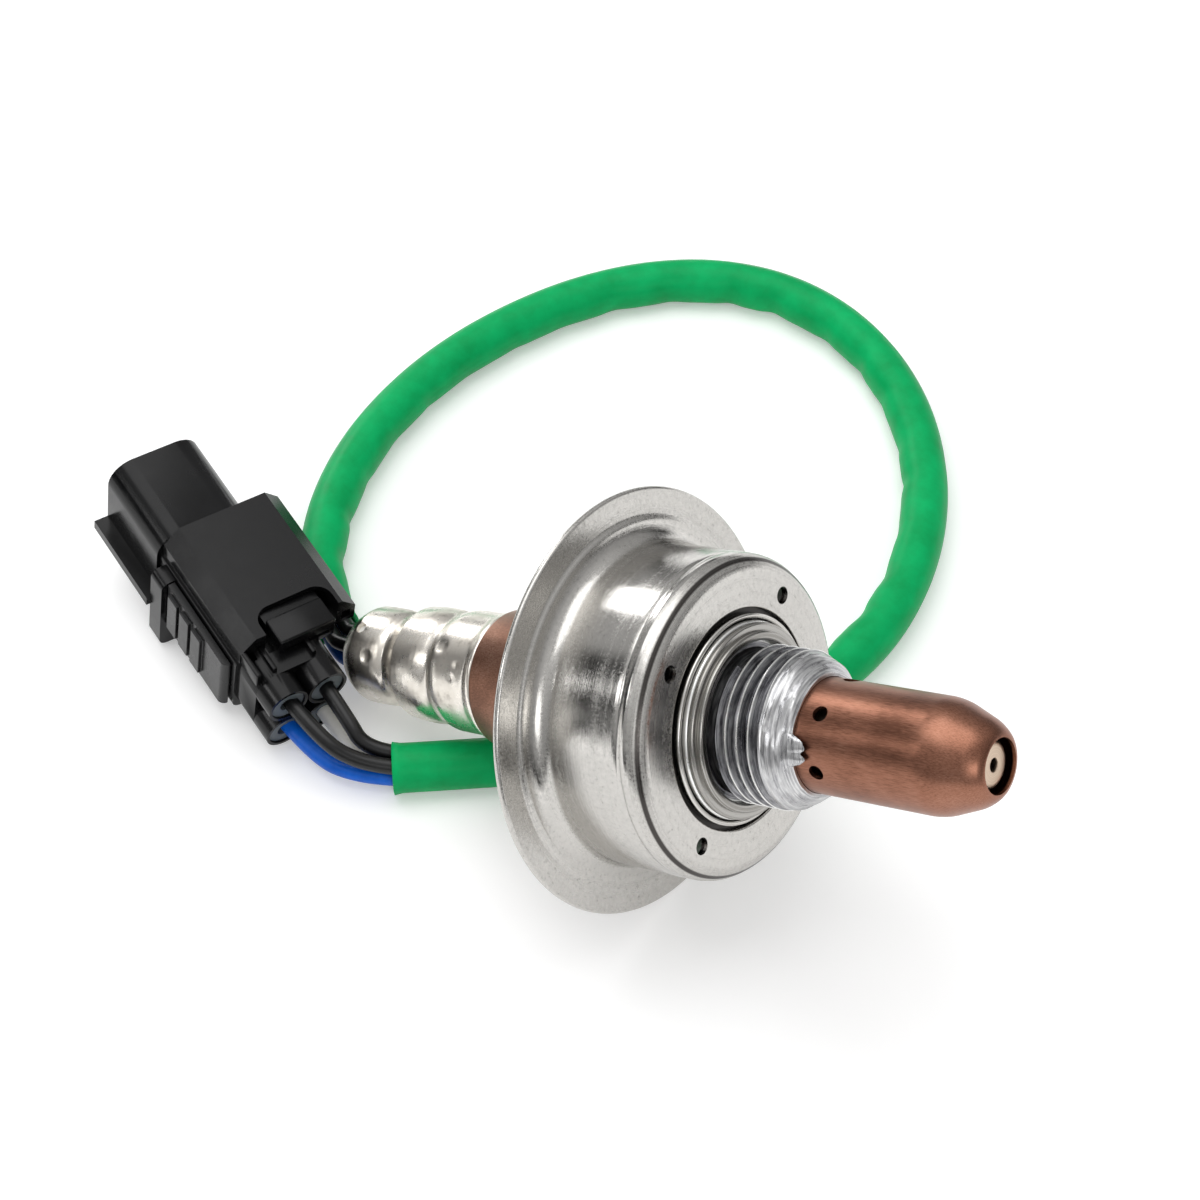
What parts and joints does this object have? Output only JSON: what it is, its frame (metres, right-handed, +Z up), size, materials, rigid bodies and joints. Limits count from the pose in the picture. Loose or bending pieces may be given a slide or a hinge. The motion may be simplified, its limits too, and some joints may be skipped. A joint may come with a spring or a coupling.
{
  "type": "heated oxygen sensor",
  "caption": "Exhaust oxygen sensor with a stamped heat-shield cup, a paste-coated thread, a tubed tip and a short green-sleeved lead to a square black connector.",
  "frame": {"origin": "floor point under the middle of the sensor without its lead and connector, as the sensor lies in the picture on the rim of its shield and the rounded end of its crimped sleeve", "axes": "+Z up; +X along the floor from the wire end to the tip, below the sensor's slanted axis; +Y to the side on which the lead's loop lies"},
  "size_m": [0.1253, 0.1144, 0.0461],
  "materials": {
    "shield_steel": "bright stamped stainless steel",
    "housing_steel": "turned steel, thread under grey anti-seize paste",
    "ring_steel": "bright steel",
    "gasket_steel": "folded steel, dull",
    "tube_steel": "heat-tinted copper-brown steel",
    "inner_tube_steel": "light steel",
    "zirconia": "matt ceramic",
    "alumina": "matt ceramic",
    "talc": "pressed powder",
    "contact_alloy": "spring alloy",
    "shell_steel": "matt brown heat-tinted steel",
    "sleeve_steel": "warm grey nickel-like steel",
    "vent_filter": "porous white",
    "grommet_rubber": "black rubber",
    "cover_green": "satin green",
    "lead_black": "satin black insulation",
    "lead_blue": "satin blue insulation",
    "lead_white": "satin white insulation",
    "connector_black": "satin black moulding",
    "retainer_black": "satin black moulding",
    "seal_grey": "blue-grey silicone",
    "pin_metal": "tinned brass"
  },
  "bodies": {
    "root": {"heat_shield_cup": "shield_steel", "threaded_housing": "housing_steel", "shield_retaining_ring": "ring_steel", "gasket_ring": "gasket_steel", "outer_protection_tube": "tube_steel", "inner_protection_tube": "inner_tube_steel", "sensing_element": "zirconia", "lower_insulator": "alumina", "talc_ring": "talc", "upper_insulator": "alumina", "contact_holder": "alumina", "contact_springs": "contact_alloy", "crimp_terminals": "contact_alloy", "rear_shell": "shell_steel", "crimped_sleeve": "sleeve_steel", "vent_filter": "vent_filter", "wire_grommet": "grommet_rubber", "cover_sleeve": "cover_green", "tail_lead_black_near": "lead_black", "tail_lead_black_far": "lead_black", "tail_lead_blue": "lead_blue", "tail_lead_white": "lead_white", "plug_lead_black_near": "lead_black", "plug_lead_black_far": "lead_black", "plug_lead_blue": "lead_blue", "plug_lead_white": "lead_white", "connector_housing": "connector_black", "side_retainer": "retainer_black", "wire_seals": "seal_grey", "terminal_pins": "pin_metal"}
  },
  "joints": []
}
